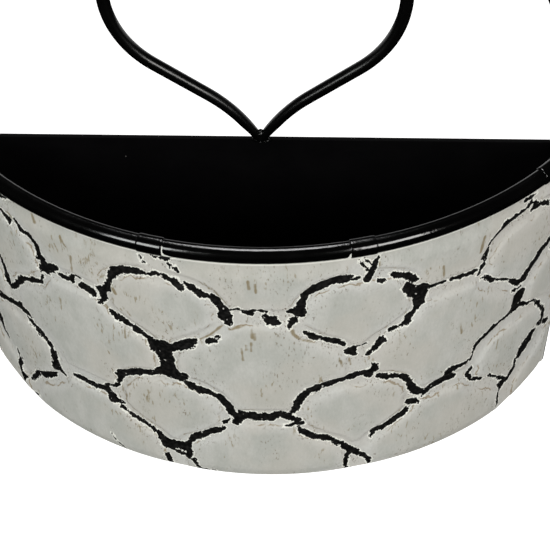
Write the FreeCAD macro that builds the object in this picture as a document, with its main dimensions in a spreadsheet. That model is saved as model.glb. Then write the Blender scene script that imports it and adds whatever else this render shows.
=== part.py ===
"""Half-round wall planter: a tapered sheet basket under a bent-wire arch frame.

The origin is on the wall plane, midway across the planter, level with the basket's lower edge.
X runs to the right, Y into the wall and Z up, in millimetres. Sketches take their heights from
the centre line of the rim rod, where the basket and the frame meet.
"""

import FreeCAD, Part
import Sketcher
import math
import os

SIZES = (
    ("rim_radius", 197.0, "centre line of the rim rod, in plan"),
    ("basket_depth", 94.0, "wall plane to the centre line of the rim rod at the front"),
    ("basket_height", 174.0, "centre line of the rim rod to the lower edge of the front wall"),
    ("foot_inset", 9.5, "centre line of the rim rod in to the wall's lower edge, in plan"),
    ("nip_width", 26.0, "slanting nip off each lower corner, along the lower edge"),
    ("nip_height", 8.0, "slanting nip off each lower corner, up the side"),
    ("rim_rod_diameter", 8.7, "round rod that stiffens the rim"),
    ("wall_sheet", 0.8, "sheet of the front wall"),
    ("panel_sheet", 0.8, "sheet of the back panel"),
    ("floor_sheet", 0.8, "sheet of the bottom panel"),
    ("flange_width", 12.0, "side flanges of the front wall, spot-welded to the back panel"),
    ("hem_drop", 1.8, "centre line of the rim rod down to the top of the hem"),
    ("hem_flap", 8.0, "height of the hem that is folded forward along the back panel"),
    ("hem_gap", 0.8, "space inside the fold of the hem"),
    ("floor_inset", 2.0, "lower edge of the front wall up to the underside of the bottom panel"),
    ("floor_lip", 8.0, "upturned edge of the bottom panel"),
    ("clip_width", 13.5, "width of a rim clip along the rod"),
    ("clip_sheet", 0.6, "sheet of the rim clips"),
    ("clip_tail", 12.0, "tail of a clip down the inside of the front wall"),
    ("clip_mouth", 40.0, "opening of a clip's wrap under the rod, in degrees"),
    ("clip_angle_inner", 15.8, "inner pair of clips, in degrees each side of the middle"),
    ("clip_angle_outer", 48.3, "outer pair of clips, in degrees each side of the middle"),
    ("frame_wire", 6.8, "round wire of the arch and the scrolls"),
    ("arch_radius", 155.0, "centre line of the arch's half circle"),
    ("arch_leg", 34.0, "straight leg of the arch above the centre line of the rim rod"),
    ("scroll_half_width", 75.0, "middle of the planter to the belly of a scroll, centre line"),
    ("scroll_belly_radius", 55.5, "bend of a scroll at its belly"),
    ("scroll_run", 32.0, "straight run between a scroll's belly and its toe"),
    ("scroll_toe_radius", 82.0, "reverse bend of a scroll towards its toe"),
    ("tab_width", 18.0, "hanging tab, also the diameter of its round top"),
    ("tab_rise", 8.0, "foot of the hanging tab up to the middle of its hole"),
    ("tab_sheet", 2.0, "sheet of the hanging tab"),
    ("hang_hole", 8.0, "hole of the hanging tab, for a screw in the wall"),
    ("seat_gap", 0.3, "clearance where one piece is seated on another"),
)
SHEET = "sizes"
OVERCUT = 20.0  # how far a trimming cut reaches past the work
HALF_TURN = 180.0


class Size:
    """A number together with the sheet expression that gives it."""

    def __init__(self, number, text):
        self.number = number
        self.text = text

    def __add__(self, other):
        other = size_of(other)
        return Size(self.number + other.number, f"({self.text} + {other.text})")

    def __sub__(self, other):
        other = size_of(other)
        return Size(self.number - other.number, f"({self.text} - {other.text})")

    def __mul__(self, other):
        other = size_of(other)
        return Size(self.number * other.number, f"({self.text} * {other.text})")

    def __truediv__(self, other):
        other = size_of(other)
        return Size(self.number / other.number, f"({self.text} / {other.text})")

    def __neg__(self):
        return Size(-self.number, f"(-1 * {self.text})")


def size_of(value):
    """Give a plain number the form of a size."""
    return value if isinstance(value, Size) else Size(float(value), repr(float(value)))


def root(value):
    return Size(math.sqrt(value.number), f"sqrt({value.text})")


def sine(angle):
    return Size(math.sin(math.radians(angle.number)), f"sin({angle.text})")


def write_sheet(doc):
    """Fill the sheet: one row per driving size, with its alias and a note."""
    sheet = doc.addObject("Spreadsheet::Sheet", SHEET)
    for row, (name, number, note) in enumerate(SIZES, start=1):
        sheet.set(f"A{row}", name)
        sheet.set(f"B{row}", str(number))
        sheet.setAlias(f"B{row}", name)
        sheet.set(f"C{row}", note)


doc = FreeCAD.newDocument("wall_planter")
write_sheet(doc)
doc.recompute()
S = {name: Size(number, f"{SHEET}.{name}") for name, number, _ in SIZES}

# Places that several pieces share.
GAP = S["seat_gap"]
ZERO = size_of(0.0)
SETBACK = S["rim_radius"] - S["basket_depth"]  # axis of the basket's curve, behind the wall
ROD_HALF = S["rim_rod_diameter"] / 2
WIRE_HALF = S["frame_wire"] / 2
WALL_TOP = -(ROD_HALF + GAP)
WALL_FOOT = -S["basket_height"]
WALL_TOP_RADIUS = S["rim_radius"] + S["wall_sheet"] / 2
FOOT_RADIUS = S["rim_radius"] - S["foot_inset"]  # outside of the wall at its lower edge
TAPER = (WALL_TOP_RADIUS - FOOT_RADIUS) / (WALL_TOP - WALL_FOOT)
HEM_TOP = -S["hem_drop"]
HEM_DEPTH = S["panel_sheet"] * 2 + S["hem_gap"]
HEM_BEND = HEM_DEPTH / 2
FLOOR_UNDER = WALL_FOOT + S["floor_inset"]
PANEL_FACE = -(S["panel_sheet"] + GAP)  # first free place in front of the back panel
HEM_FACE = -(HEM_DEPTH + GAP)  # first free place in front of the hem
ARCH_TOP = S["arch_leg"] + S["arch_radius"]
SCROLL_HEAD = ARCH_TOP - WIRE_HALF
SCROLL_MID = (SCROLL_HEAD + HEM_TOP) / 2
SCROLL_REACH = (SCROLL_HEAD - HEM_TOP) / 2


def wall_radius(height):
    """Outside of the front wall, in plan, at a height."""
    return WALL_TOP_RADIUS - TAPER * (WALL_TOP - height)


def half_chord(radius):
    """Half the width, on the wall plane, of a circle about the basket's axis."""
    return root(radius * radius - SETBACK * SETBACK)


def bind(item, path, value):
    """Drive a property from the sheet, or set it where the value is a plain number."""
    item.setExpression(path, size_of(value).text)


def new_body(label):
    body = doc.addObject("PartDesign::Body", label)
    body.Label = label
    return body


def plane_of(body, role):
    """One of the body's own origin planes."""
    return next(item for item in body.Origin.OriginFeatures if item.Role == role)


def new_sketch(body, name, role, shift=(0, 0, 0), side=0, turn=None):
    """A sketch level with the rim rod, shifted from there along its plane's own three axes.

    On the YZ plane it may also be turned about the upright line through its origin, to the
    right (side 1) or to the left (side -1).
    """
    sketch = body.newObject("Sketcher::SketchObject", f"{body.Name}_{name}")
    sketch.AttachmentSupport = [(plane_of(body, role), "")]
    sketch.MapMode = "FlatFace"
    if side:
        rotation = FreeCAD.Rotation(FreeCAD.Vector(0, side, 0), turn.number)
        sketch.AttachmentOffset = FreeCAD.Placement(FreeCAD.Vector(), rotation)
        bind(sketch, "AttachmentOffset.Rotation.Angle", turn)
    upright = "z" if role == "XY_Plane" else "y"
    for axis, value in zip("xyz", shift):
        if axis == upright:
            value = S["basket_height"] + value
        if size_of(value).number:
            bind(sketch, f"AttachmentOffset.Base.{axis}", value)
    return sketch


def drive(sketch, value, *constraint):
    """Add a sized constraint and bind it to the sheet."""
    index = sketch.addConstraint(Sketcher.Constraint(*constraint, size_of(value).number))
    bind(sketch, f"Constraints[{index}]", value)


def tie(sketch, *constraint):
    """Add a constraint that has no size."""
    sketch.addConstraint(Sketcher.Constraint(*constraint))


def pin(sketch, item, point, across=None, along=None):
    """Hold a point of a sketch item at its place from the sketch's origin."""
    for kind, axis, value in (("DistanceX", -2, across), ("DistanceY", -1, along)):
        if value is None:
            continue
        if size_of(value).number:
            drive(sketch, value, kind, -1, 1, item, point)
        else:
            tie(sketch, "PointOnObject", item, point, axis)


def vector(across, along):
    return FreeCAD.Vector(size_of(across).number, size_of(along).number, 0)


def draw_line(sketch, start, end):
    return sketch.addGeometry(Part.LineSegment(vector(*start), vector(*end)))


def draw_arc(sketch, centre, radius, start, end):
    """An arc about a centre, counter-clockwise from one angle to another, in degrees."""
    circle = Part.Circle(vector(*centre), FreeCAD.Vector(0, 0, 1), size_of(radius).number)
    item = sketch.addGeometry(Part.ArcOfCircle(circle, math.radians(start), math.radians(end)))
    return item


def draw_outline(sketch, corners):
    """A closed outline of straight lines through the corners."""
    ends = corners[1:] + corners[:1]
    lines = [draw_line(sketch, start, end) for start, end in zip(corners, ends)]
    for line, following in zip(lines, lines[1:] + lines[:1]):
        tie(sketch, "Coincident", line, 2, following, 1)
    for line, corner in zip(lines, corners):
        pin(sketch, line, 1, *corner)


def draw_circle(sketch, across, along, radius):
    circle = Part.Circle(vector(across, along), FreeCAD.Vector(0, 0, 1), radius.number)
    item = sketch.addGeometry(circle)
    pin(sketch, item, 3, across, along)
    drive(sketch, radius, "Radius", item)


def feature(body, kind, name, sketch):
    """A feature of the body that works from one sketch."""
    item = body.newObject(f"PartDesign::{kind}", f"{body.Name}_{name}")
    item.Profile = sketch
    return item


def turn_section(body, kind, name, sketch, angle):
    """Sweep or cut a section about the basket's axis, half of the angle each way."""
    turned = feature(body, kind, name, sketch)
    turned.ReferenceAxis = (sketch, ["V_Axis"])
    turned.Midplane = True
    bind(turned, "Angle", angle)


def trim_behind(body, face):
    """Cut the body off flat, on its wall side, at a place in front of the wall."""
    reach = S["rim_radius"] + OVERCUT
    sketch = new_sketch(body, "trim_sketch", "XY_Plane")
    draw_outline(sketch, [(-reach, face), (reach, face), (reach, reach), (-reach, reach)])
    cut_through(body, "trim", sketch)


def cut_through(body, name, sketch):
    """Cut right through the body, on both sides of the sketch."""
    cut = feature(body, "Pocket", name, sketch)
    cut.Type = "ThroughAll"
    cut.Midplane = True


def sweep_wire(body, section, path):
    """Draw a round section along a path, at right angles to its start."""
    pipe = feature(body, "AdditivePipe", "pipe", section)
    pipe.Spine = path
    return pipe


def mirror(body, source, plane, axis=""):
    """Repeat a feature of the body on the other side of a plane."""
    copy = body.newObject("PartDesign::Mirrored", f"{source.Name}_mirrored")
    copy.Originals = [source]
    copy.MirrorPlane = (plane, [axis])
    body.Tip = copy


def build_rim_rod():
    """Round rod bent to the rim; its two ends stop at the hem of the back panel."""
    body = new_body("rim_rod")
    section = new_sketch(body, "section", "YZ_Plane", (SETBACK, 0, 0))
    draw_circle(section, -S["rim_radius"], 0, ROD_HALF)
    turn_section(body, "Revolution", "bend", section, HALF_TURN)
    trim_behind(body, HEM_FACE)


def build_front_wall():
    """Tapered sheet wall, notched under the clips, with a flange down each side."""
    body = new_body("front_wall")
    sheet = S["wall_sheet"]
    section = new_sketch(body, "section", "YZ_Plane", (SETBACK, 0, 0))
    top, foot = -WALL_TOP_RADIUS, -FOOT_RADIUS
    outer = [(top, WALL_TOP), (foot, WALL_FOOT)]
    inner = [(foot + sheet, WALL_FOOT), (top + sheet, WALL_TOP)]
    draw_outline(section, outer + inner)
    turn_section(body, "Revolution", "bend", section, HALF_TURN)
    trim_behind(body, PANEL_FACE)
    for number, (side, angle) in enumerate(CLIP_PLACES, start=1):
        cut_clip_notch(body, number, side, angle)
    nip_corners(body)
    add_wall_flanges(body)


def nip_corners(body):
    """Cut the body off along the slanting nips at the basket's two lower corners."""
    edge, width, height = half_chord(FOOT_RADIUS), S["nip_width"], S["nip_height"]
    start, far = edge - width, edge + width
    rise, below = WALL_FOOT + height * 2, WALL_FOOT - OVERCUT
    sketch = new_sketch(body, "nip_sketch", "XZ_Plane")
    for side in (1, -1):
        corners = [(start, WALL_FOOT), (start, below), (far, below), (far, rise)]
        draw_outline(sketch, [(across * side, along) for across, along in corners])
    cut_through(body, "nip", sketch)


def cut_clip_notch(body, number, side, angle):
    """Lower the top edge of the wall where a clip passes under the rod."""
    sketch = new_sketch(body, f"notch_{number}_sketch", "YZ_Plane", (SETBACK, 0, 0), side, angle)
    outer, inner = -S["rim_radius"] - ROD_HALF, -S["rim_radius"] + ROD_HALF
    depth = WALL_TOP - S["clip_sheet"] - GAP
    draw_outline(sketch, [(outer, depth), (inner, depth), (inner, 0), (outer, 0)])
    turn_section(body, "Groove", f"notch_{number}", sketch, clip_arc(GAP))


def add_wall_flanges(body):
    """Fold a flange down each side of the wall, flat against the back panel."""
    top = HEM_TOP - S["hem_flap"] - GAP
    low = FLOOR_UNDER + S["floor_lip"] + GAP
    upper, lower = (half_chord(wall_radius(height)) - S["wall_sheet"] for height in (top, low))
    width = S["flange_width"]
    sketch = new_sketch(body, "flange_sketch", "XZ_Plane", (0, 0, -PANEL_FACE))
    inner = [(lower - width, low), (upper - width, top)]
    draw_outline(sketch, [(upper, top), (lower, low)] + inner)
    flange = feature(body, "Pad", "flange", sketch)
    bind(flange, "Length", S["wall_sheet"])
    mirror(body, flange, plane_of(body, "YZ_Plane"))


def build_back_panel():
    """Flat sheet against the wall, its top edge folded forward into a hem."""
    body = new_body("back_panel")
    top, foot = half_chord(WALL_TOP_RADIUS), half_chord(FOOT_RADIUS)
    bend = HEM_TOP - HEM_BEND
    sketch = new_sketch(body, "sheet_sketch", "XZ_Plane")
    draw_outline(sketch, [(-foot, WALL_FOOT), (foot, WALL_FOOT), (top, bend), (-top, bend)])
    sheet = feature(body, "Pad", "sheet", sketch)
    bind(sheet, "Length", S["panel_sheet"])
    nip_corners(body)

    flap_end = HEM_TOP - S["hem_flap"]
    section = new_sketch(body, "hem_section", "YZ_Plane")
    draw_hem(section, bend, flap_end)
    hem = feature(body, "Pad", "hem", section)
    hem.Midplane = True
    inside = wall_radius(flap_end) - S["wall_sheet"]
    depth = SETBACK + HEM_DEPTH
    reach = root(inside * inside - depth * depth) - GAP
    bind(hem, "Length", reach * 2)


def draw_hem(section, bend, flap_end):
    """The fold: a half round at the top with one leg in the sheet and one down the front."""
    sheet, middle = S["panel_sheet"], -HEM_BEND
    rounds = []
    for radius in (HEM_BEND, S["hem_gap"] / 2):
        item = draw_arc(section, (middle, bend), radius, 0, HALF_TURN)
        pin(section, item, 3, middle, bend)
        pin(section, item, 1, along=bend)
        pin(section, item, 2, along=bend)
        drive(section, radius, "Radius", item)
        rounds.append(item)
    outer, inner = rounds
    for point, face, back in ((1, 0, -sheet), (2, -HEM_DEPTH, sheet - HEM_DEPTH)):
        outside = draw_line(section, (face, bend), (face, flap_end))
        end = draw_line(section, (face, flap_end), (back, flap_end))
        inside = draw_line(section, (back, flap_end), (back, bend))
        tie(section, "Coincident", outer, point, outside, 1)
        tie(section, "Coincident", outside, 2, end, 1)
        tie(section, "Coincident", end, 2, inside, 1)
        tie(section, "Coincident", inside, 2, inner, point)
        tie(section, "Vertical", outside)
        tie(section, "Vertical", inside)
        tie(section, "Horizontal", end)
        pin(section, end, 1, along=flap_end)


def build_bottom_panel():
    """Flat floor with an upturned lip that follows the inside of the front wall."""
    body = new_body("bottom_panel")
    sheet = S["floor_sheet"]
    section = new_sketch(body, "section", "YZ_Plane", (SETBACK, 0, 0))
    heights = (FLOOR_UNDER, FLOOR_UNDER + sheet, FLOOR_UNDER + S["floor_lip"])
    under, over, rim = ((S["wall_sheet"] + GAP - wall_radius(height), height) for height in heights)
    lip = [(over[0] + sheet, over[1]), (rim[0] + sheet, rim[1]), rim]
    draw_outline(section, [under, (ZERO, under[1]), (ZERO, over[1])] + lip)
    turn_section(body, "Revolution", "bend", section, HALF_TURN)
    trim_behind(body, PANEL_FACE)
    nip_corners(body)


def build_rim_clip(label, side, angle):
    """Strip wrapped round the rod, with a tail down the inside of the front wall."""
    body = new_body(label)
    inner = ROD_HALF + GAP
    outer = inner + S["clip_sheet"]
    lean = -(wall_radius(-outer) - S["wall_sheet"] - GAP - S["rim_radius"])

    wrap = new_sketch(body, "wrap_sketch", "YZ_Plane", (SETBACK, 0, 0), side, angle)
    draw_wrap(wrap, inner, outer, lean / outer, sine(S["clip_mouth"]))
    turn_section(body, "Revolution", "wrap", wrap, clip_arc(0))

    tail = new_sketch(body, "tail_sketch", "YZ_Plane", (SETBACK, 0, 0), side, angle)
    top = -inner - S["clip_sheet"] / 4
    foot = -outer - S["clip_tail"]
    upper, lower = (S["wall_sheet"] + GAP - wall_radius(height) for height in (top, foot))
    thick = S["clip_sheet"]
    draw_outline(tail, [(upper, top), (lower, foot), (lower + thick, foot), (upper + thick, top)])
    turn_section(body, "Revolution", "tail", tail, clip_arc(0))


def draw_wrap(sketch, inner, outer, lean, mouth):
    """Section of the strip round the rod, from its tail up over the rod to its free end."""
    start = math.degrees(math.asin(lean.number)) - 90
    end = 270 - math.degrees(math.asin(mouth.number))
    rounds = []
    for radius in (inner, outer):
        item = draw_arc(sketch, (-S["rim_radius"], 0), radius, start, end)
        pin(sketch, item, 3, -S["rim_radius"], 0)
        drive(sketch, radius, "Radius", item)
        pin(sketch, item, 1, across=radius * lean - S["rim_radius"])
        pin(sketch, item, 2, across=-(radius * mouth) - S["rim_radius"])
        rounds.append(item)
    for point in (1, 2):
        first, last = (sketch.getPoint(item, point) for item in rounds)
        line = sketch.addGeometry(Part.LineSegment(first, last))
        tie(sketch, "Coincident", rounds[0], point, line, 1)
        tie(sketch, "Coincident", rounds[1], point, line, 2)


def build_arch():
    """One wire bent to a half circle on two straight legs that stand on the hem."""
    body = new_body("arch_wire")
    radius, leg = S["arch_radius"], S["arch_leg"]
    foot = HEM_TOP + GAP
    path = new_sketch(body, "path", "XZ_Plane", (0, 0, WIRE_HALF))
    crown = draw_arc(path, (0, leg), radius, 0, 90)
    pin(path, crown, 3, 0, leg)
    pin(path, crown, 2, across=0)
    pin(path, crown, 1, along=leg)
    drive(path, radius, "Radius", crown)
    upright = draw_line(path, (radius, leg), (radius, foot))
    tie(path, "Coincident", crown, 1, upright, 1)
    tie(path, "Vertical", upright)
    pin(path, upright, 2, along=foot)

    section = new_sketch(body, "section", "YZ_Plane")
    draw_circle(section, -WIRE_HALF, ARCH_TOP, WIRE_HALF)
    mirror(body, sweep_wire(body, section, path), plane_of(body, "YZ_Plane"))


def build_scrolls():
    """Two wires bent to one ogee, cut to meet each other at the hem and under the arch."""
    body = new_body("scroll_right")
    path = new_sketch(body, "path", "XZ_Plane", (0, SCROLL_MID, WIRE_HALF))
    draw_scroll(path)
    section = new_sketch(body, "section", "XY_Plane", (0, 0, SCROLL_MID))
    draw_circle(section, S["scroll_half_width"], -WIRE_HALF, WIRE_HALF)
    mirror(body, sweep_wire(body, section, path), path, "H_Axis")

    trim = new_sketch(body, "trim_sketch", "XZ_Plane", (0, SCROLL_MID, 0))
    side, far = S["scroll_half_width"] + OVERCUT, SCROLL_REACH + OVERCUT
    near, end = GAP / 2, SCROLL_REACH - GAP
    upper = [(near, end), (side, end), (side, far), (-side, far)]
    lower = [(-side, -far), (side, -far), (side, -end), (near, -end)]
    draw_outline(trim, lower + upper)
    cut_through(body, "trim", trim)

    left = doc.addObject("Part::Mirroring", "scroll_left")
    left.Source = body
    left.Normal = (1, 0, 0)


def draw_scroll(path):
    """Lower half of a scroll: belly, straight run and toe, from the belly to past its foot."""
    belly, run, toe = S["scroll_belly_radius"], S["scroll_run"], S["scroll_toe_radius"]
    across = S["scroll_half_width"] - belly
    low = -SCROLL_REACH - S["frame_wire"]
    slope = scroll_slope()
    hub = (across.number + belly.number * math.cos(slope), -belly.number * math.sin(slope))
    knee = (hub[0] - run.number * math.sin(slope), hub[1] - run.number * math.cos(slope))
    toe_hub = (knee[0] + toe.number * math.cos(slope), knee[1] - toe.number * math.sin(slope))
    toe_end = math.asin((low.number - toe_hub[1]) / toe.number)
    turn = math.degrees(slope)

    upper = draw_arc(path, (across, 0), belly, -turn, 0)
    straight = draw_line(path, hub, knee)
    lower = draw_arc(path, toe_hub, toe, HALF_TURN - turn, HALF_TURN - math.degrees(toe_end))
    pin(path, upper, 3, across, 0)
    pin(path, upper, 2, along=0)
    drive(path, belly, "Radius", upper)
    tie(path, "Tangent", upper, 1, straight, 1)
    drive(path, run, "Distance", straight)
    tie(path, "Tangent", straight, 2, lower, 1)
    drive(path, toe, "Radius", lower)
    pin(path, lower, 2, along=low)
    foot = path.addGeometry(Part.Point(vector(0, -SCROLL_REACH)))
    path.toggleConstruction(foot)
    pin(path, foot, 1, 0, -SCROLL_REACH)
    tie(path, "PointOnObject", foot, 1, lower)


def scroll_slope():
    """Lean of a scroll's straight run from upright, in radians, that closes its outline."""
    half, reach = S["scroll_half_width"].number, SCROLL_REACH.number
    belly, run, toe = (S[f"scroll_{name}"].number for name in ("belly_radius", "run", "toe_radius"))
    across = half - belly
    span = math.hypot(reach, across)
    free = (belly + toe) ** 2 + run**2 - span**2 - toe**2
    foot_lean = math.atan2(across, reach) + math.asin(free / (2 * toe * span))
    rise = reach + toe * math.sin(foot_lean)
    width = toe * math.cos(foot_lean) - across
    return math.atan2(rise, width) - math.atan2(run, belly + toe)


def build_hanging_tab():
    """Flat tab with a round top and a screw hole, standing on the crown of the arch."""
    body = new_body("hanging_tab")
    half, foot = S["tab_width"] / 2, ARCH_TOP + WIRE_HALF + GAP
    middle = foot + S["tab_rise"]
    sketch = new_sketch(body, "outline", "XZ_Plane", (0, 0, WIRE_HALF))
    top = draw_arc(sketch, (0, middle), half, 0, HALF_TURN)
    pin(sketch, top, 3, 0, middle)
    pin(sketch, top, 1, along=middle)
    pin(sketch, top, 2, along=middle)
    drive(sketch, half, "Radius", top)
    right = draw_line(sketch, (half, middle), (half, foot))
    base = draw_line(sketch, (half, foot), (-half, foot))
    left = draw_line(sketch, (-half, foot), (-half, middle))
    tie(sketch, "Coincident", top, 1, right, 1)
    tie(sketch, "Coincident", right, 2, base, 1)
    tie(sketch, "Coincident", base, 2, left, 1)
    tie(sketch, "Coincident", left, 2, top, 2)
    tie(sketch, "Vertical", right)
    tie(sketch, "Vertical", left)
    tie(sketch, "Horizontal", base)
    pin(sketch, base, 1, along=foot)
    draw_circle(sketch, 0, middle, S["hang_hole"] / 2)
    tab = feature(body, "Pad", "sheet", sketch)
    tab.Midplane = True
    bind(tab, "Length", S["tab_sheet"])


def clip_arc(clearance):
    """Angle about the basket's axis that a clip's width takes, with a clearance each side."""
    return (S["clip_width"] + size_of(clearance) * 2) / S["rim_radius"] * (HALF_TURN / math.pi)


CLIPS = {
    "rim_clip_outer_left": (-1, S["clip_angle_outer"]),
    "rim_clip_inner_left": (-1, S["clip_angle_inner"]),
    "rim_clip_inner_right": (1, S["clip_angle_inner"]),
    "rim_clip_outer_right": (1, S["clip_angle_outer"]),
}
CLIP_PLACES = tuple(CLIPS.values())


def check(item):
    """Stop where an object failed to recompute, or a piece has no sound shape."""
    if {"Invalid", "Error"} & set(item.State):
        raise RuntimeError(f"{item.Label} did not recompute: {item.State}")


def export(labels):
    os.makedirs("parts", exist_ok=True)
    for label in labels:
        shape = doc.getObjectsByLabel(label)[0].Shape
        shape.exportStep(f"parts/{label}.step")


def build_all():
    build_rim_rod()
    build_front_wall()
    build_back_panel()
    build_bottom_panel()
    for label, (side, angle) in CLIPS.items():
        build_rim_clip(label, side, angle)
    build_arch()
    build_scrolls()
    build_hanging_tab()
    doc.recompute()


PIECES = (
    "front_wall",
    "back_panel",
    "bottom_panel",
    "rim_rod",
    *CLIPS,
    "arch_wire",
    "scroll_left",
    "scroll_right",
    "hanging_tab",
)

build_all()
for part in doc.Objects:
    check(part)
for label in PIECES:
    shape = doc.getObjectsByLabel(label)[0].Shape
    if shape.isNull() or not shape.isValid() or len(shape.Solids) != 1:
        raise RuntimeError(f"{label} is not one sound solid")
    print(f"{label:22} {shape.Volume:10.1f} mm3")
export(PIECES)
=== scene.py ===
"""A half-round wall planter: a black sheet-metal basket with a whitewashed, pressed front,
hung from a bent-wire frame. Metres and +Z up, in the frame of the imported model."""

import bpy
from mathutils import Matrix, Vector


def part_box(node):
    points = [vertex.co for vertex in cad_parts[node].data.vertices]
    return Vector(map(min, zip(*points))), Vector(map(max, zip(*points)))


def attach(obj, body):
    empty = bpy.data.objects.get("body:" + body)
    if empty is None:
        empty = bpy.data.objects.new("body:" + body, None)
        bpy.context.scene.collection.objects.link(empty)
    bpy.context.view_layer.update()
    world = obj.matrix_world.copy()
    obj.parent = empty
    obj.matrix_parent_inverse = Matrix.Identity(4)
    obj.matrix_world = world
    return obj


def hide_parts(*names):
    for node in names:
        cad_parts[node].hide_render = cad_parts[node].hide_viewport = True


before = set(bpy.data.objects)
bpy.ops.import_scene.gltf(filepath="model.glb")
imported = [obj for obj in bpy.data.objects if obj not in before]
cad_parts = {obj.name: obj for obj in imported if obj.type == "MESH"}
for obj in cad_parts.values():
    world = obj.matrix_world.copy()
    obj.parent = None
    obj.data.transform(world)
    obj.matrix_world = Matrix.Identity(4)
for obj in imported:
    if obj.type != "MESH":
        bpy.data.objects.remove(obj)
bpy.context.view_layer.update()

import math

import bmesh
import bpy
import numpy as np
from mathutils import Matrix, Vector, noise


# ---------------------------------------------------------------------------------------------
# Back panel and floor plate. Thin mild steel sheet, the back with its top edge hemmed over, the
# floor a shallow D-shaped tray. Both are sprayed matt black after the basket is put together.

def shade(level):
    """A linear grey from an 8-bit display level."""
    part = level / 255
    return part / 12.92 if part <= 0.04045 else ((part + 0.055) / 1.055) ** 2.4


def tint(red, green, blue):
    """A linear colour from 8-bit display levels."""
    return (shade(red), shade(green), shade(blue), 1.0)


def new_group(name, inputs, outputs):
    """An empty shader group with float inputs and the named outputs."""
    group = bpy.data.node_groups.new(name, "ShaderNodeTree")
    for label, value in inputs.items():
        socket = group.interface.new_socket(label, in_out="INPUT", socket_type="NodeSocketFloat")
        socket.default_value = value
    for label, kind in outputs.items():
        group.interface.new_socket(label, in_out="OUTPUT", socket_type=kind)
    start = group.nodes.new("NodeGroupInput")
    end = group.nodes.new("NodeGroupOutput")
    return group, start, end


def add(tree, kind, **settings):
    """A new node in the tree with its plain settings made."""
    node = tree.nodes.new(kind)
    for key, value in settings.items():
        setattr(node, key, value)
    return node


def join(tree, source, target):
    """A link between two sockets."""
    tree.links.new(source, target)


def calculate(tree, operation, *values, clamp=False):
    """A Math node fed by sockets or numbers. Returns its result."""
    node = add(tree, "ShaderNodeMath", operation=operation, use_clamp=clamp)
    for slot_number, value in enumerate(values):
        if isinstance(value, (int, float)):
            node.inputs[slot_number].default_value = value
        else:
            join(tree, value, node.inputs[slot_number])
    return node.outputs[0]


def product(tree, *values):
    """The product of sockets or numbers."""
    result = values[0]
    for value in values[1:]:
        result = calculate(tree, "MULTIPLY", result, value)
    return result


def ramp(tree, value, low, high, start=0.0, end=1.0):
    """Value, carried smoothly from low..high to start..end, with flat ends."""
    node = add(tree, "ShaderNodeMapRange", interpolation_type="SMOOTHSTEP")
    join(tree, value, node.inputs["Value"])
    for label, number in (("From Min", low), ("From Max", high), ("To Min", start), ("To Max", end)):
        node.inputs[label].default_value = number
    return node.outputs["Result"]


def mottle(tree, scale, stretch=(1, 1, 1), detail=3.0, roughness=0.55):
    """Cloudy noise in the object's own metres, stretched along its axes. Returns 0..1."""
    place = add(tree, "ShaderNodeTexCoord")
    mapping = add(tree, "ShaderNodeMapping")
    mapping.inputs["Scale"].default_value = stretch
    cloud = add(tree, "ShaderNodeTexNoise")
    cloud.inputs["Scale"].default_value = scale
    cloud.inputs["Detail"].default_value = detail
    cloud.inputs["Roughness"].default_value = roughness
    join(tree, place.outputs["Object"], mapping.inputs["Vector"])
    join(tree, mapping.outputs["Vector"], cloud.inputs["Vector"])
    return cloud.outputs["Fac"]


def blend_colours(tree, share, first, second):
    """Mix of two colours, each a socket or a plain colour. Returns the colour socket."""
    node = add(tree, "ShaderNodeMix", data_type="RGBA")
    join(tree, share, node.inputs["Factor"])
    for label, colour in (("A", first), ("B", second)):
        socket = next(s for s in node.inputs if s.name == label and s.type == "RGBA")
        if isinstance(colour, tuple):
            socket.default_value = colour
        else:
            join(tree, colour, socket)
    return next(s for s in node.outputs if s.type == "RGBA")


def build_sprayed_coat():
    """Sprayed paint: orange-peel height, soft wear clouds and a few pale dust specks."""
    group, start, end = new_group(
        "sprayed_coat",
        {"Peel": 900.0, "Dust": 0.5},
        {"Height": "NodeSocketFloat", "Cloud": "NodeSocketFloat", "Specks": "NodeSocketFloat"},
    )
    place = add(group, "ShaderNodeTexCoord")
    peel = add(group, "ShaderNodeTexNoise")
    peel.inputs["Detail"].default_value = 2.0
    join(group, place.outputs["Object"], peel.inputs["Vector"])
    join(group, start.outputs["Peel"], peel.inputs["Scale"])
    join(group, peel.outputs["Fac"], end.inputs["Height"])
    join(group, mottle(group, 38.0), end.inputs["Cloud"])
    grit = add(group, "ShaderNodeTexVoronoi", feature="F1")
    grit.inputs["Scale"].default_value = 95.0
    join(group, place.outputs["Object"], grit.inputs["Vector"])
    near = calculate(group, "LESS_THAN", grit.outputs["Distance"], 0.035)
    pick = add(group, "ShaderNodeSeparateColor")
    join(group, grit.outputs["Color"], pick.inputs["Color"])
    chosen = calculate(group, "LESS_THAN", pick.outputs["Red"], start.outputs["Dust"])
    join(group, product(group, near, chosen), end.inputs["Specks"])
    return group


sprayed_coat = build_sprayed_coat()


def new_material(name):
    """A material with only a Principled shader and its output. Returns material, tree, shader."""
    material = bpy.data.materials.new(name)
    material.use_nodes = True
    tree = material.node_tree
    shader = next(n for n in tree.nodes if n.type == "BSDF_PRINCIPLED")
    return material, tree, shader


def coat_of(tree, peel, dust):
    """The sprayed-coat group placed in a material with its own values."""
    node = add(tree, "ShaderNodeGroup", node_tree=sprayed_coat)
    node.inputs["Peel"].default_value = peel
    node.inputs["Dust"].default_value = dust
    return node


def raise_from(tree, height, depth, shader):
    """Bump the shader's normal by a height, in metres at most depth."""
    bump = add(tree, "ShaderNodeBump")
    bump.inputs["Distance"].default_value = depth
    join(tree, height, bump.inputs["Height"])
    join(tree, bump.outputs["Normal"], shader.inputs["Normal"])


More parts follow.
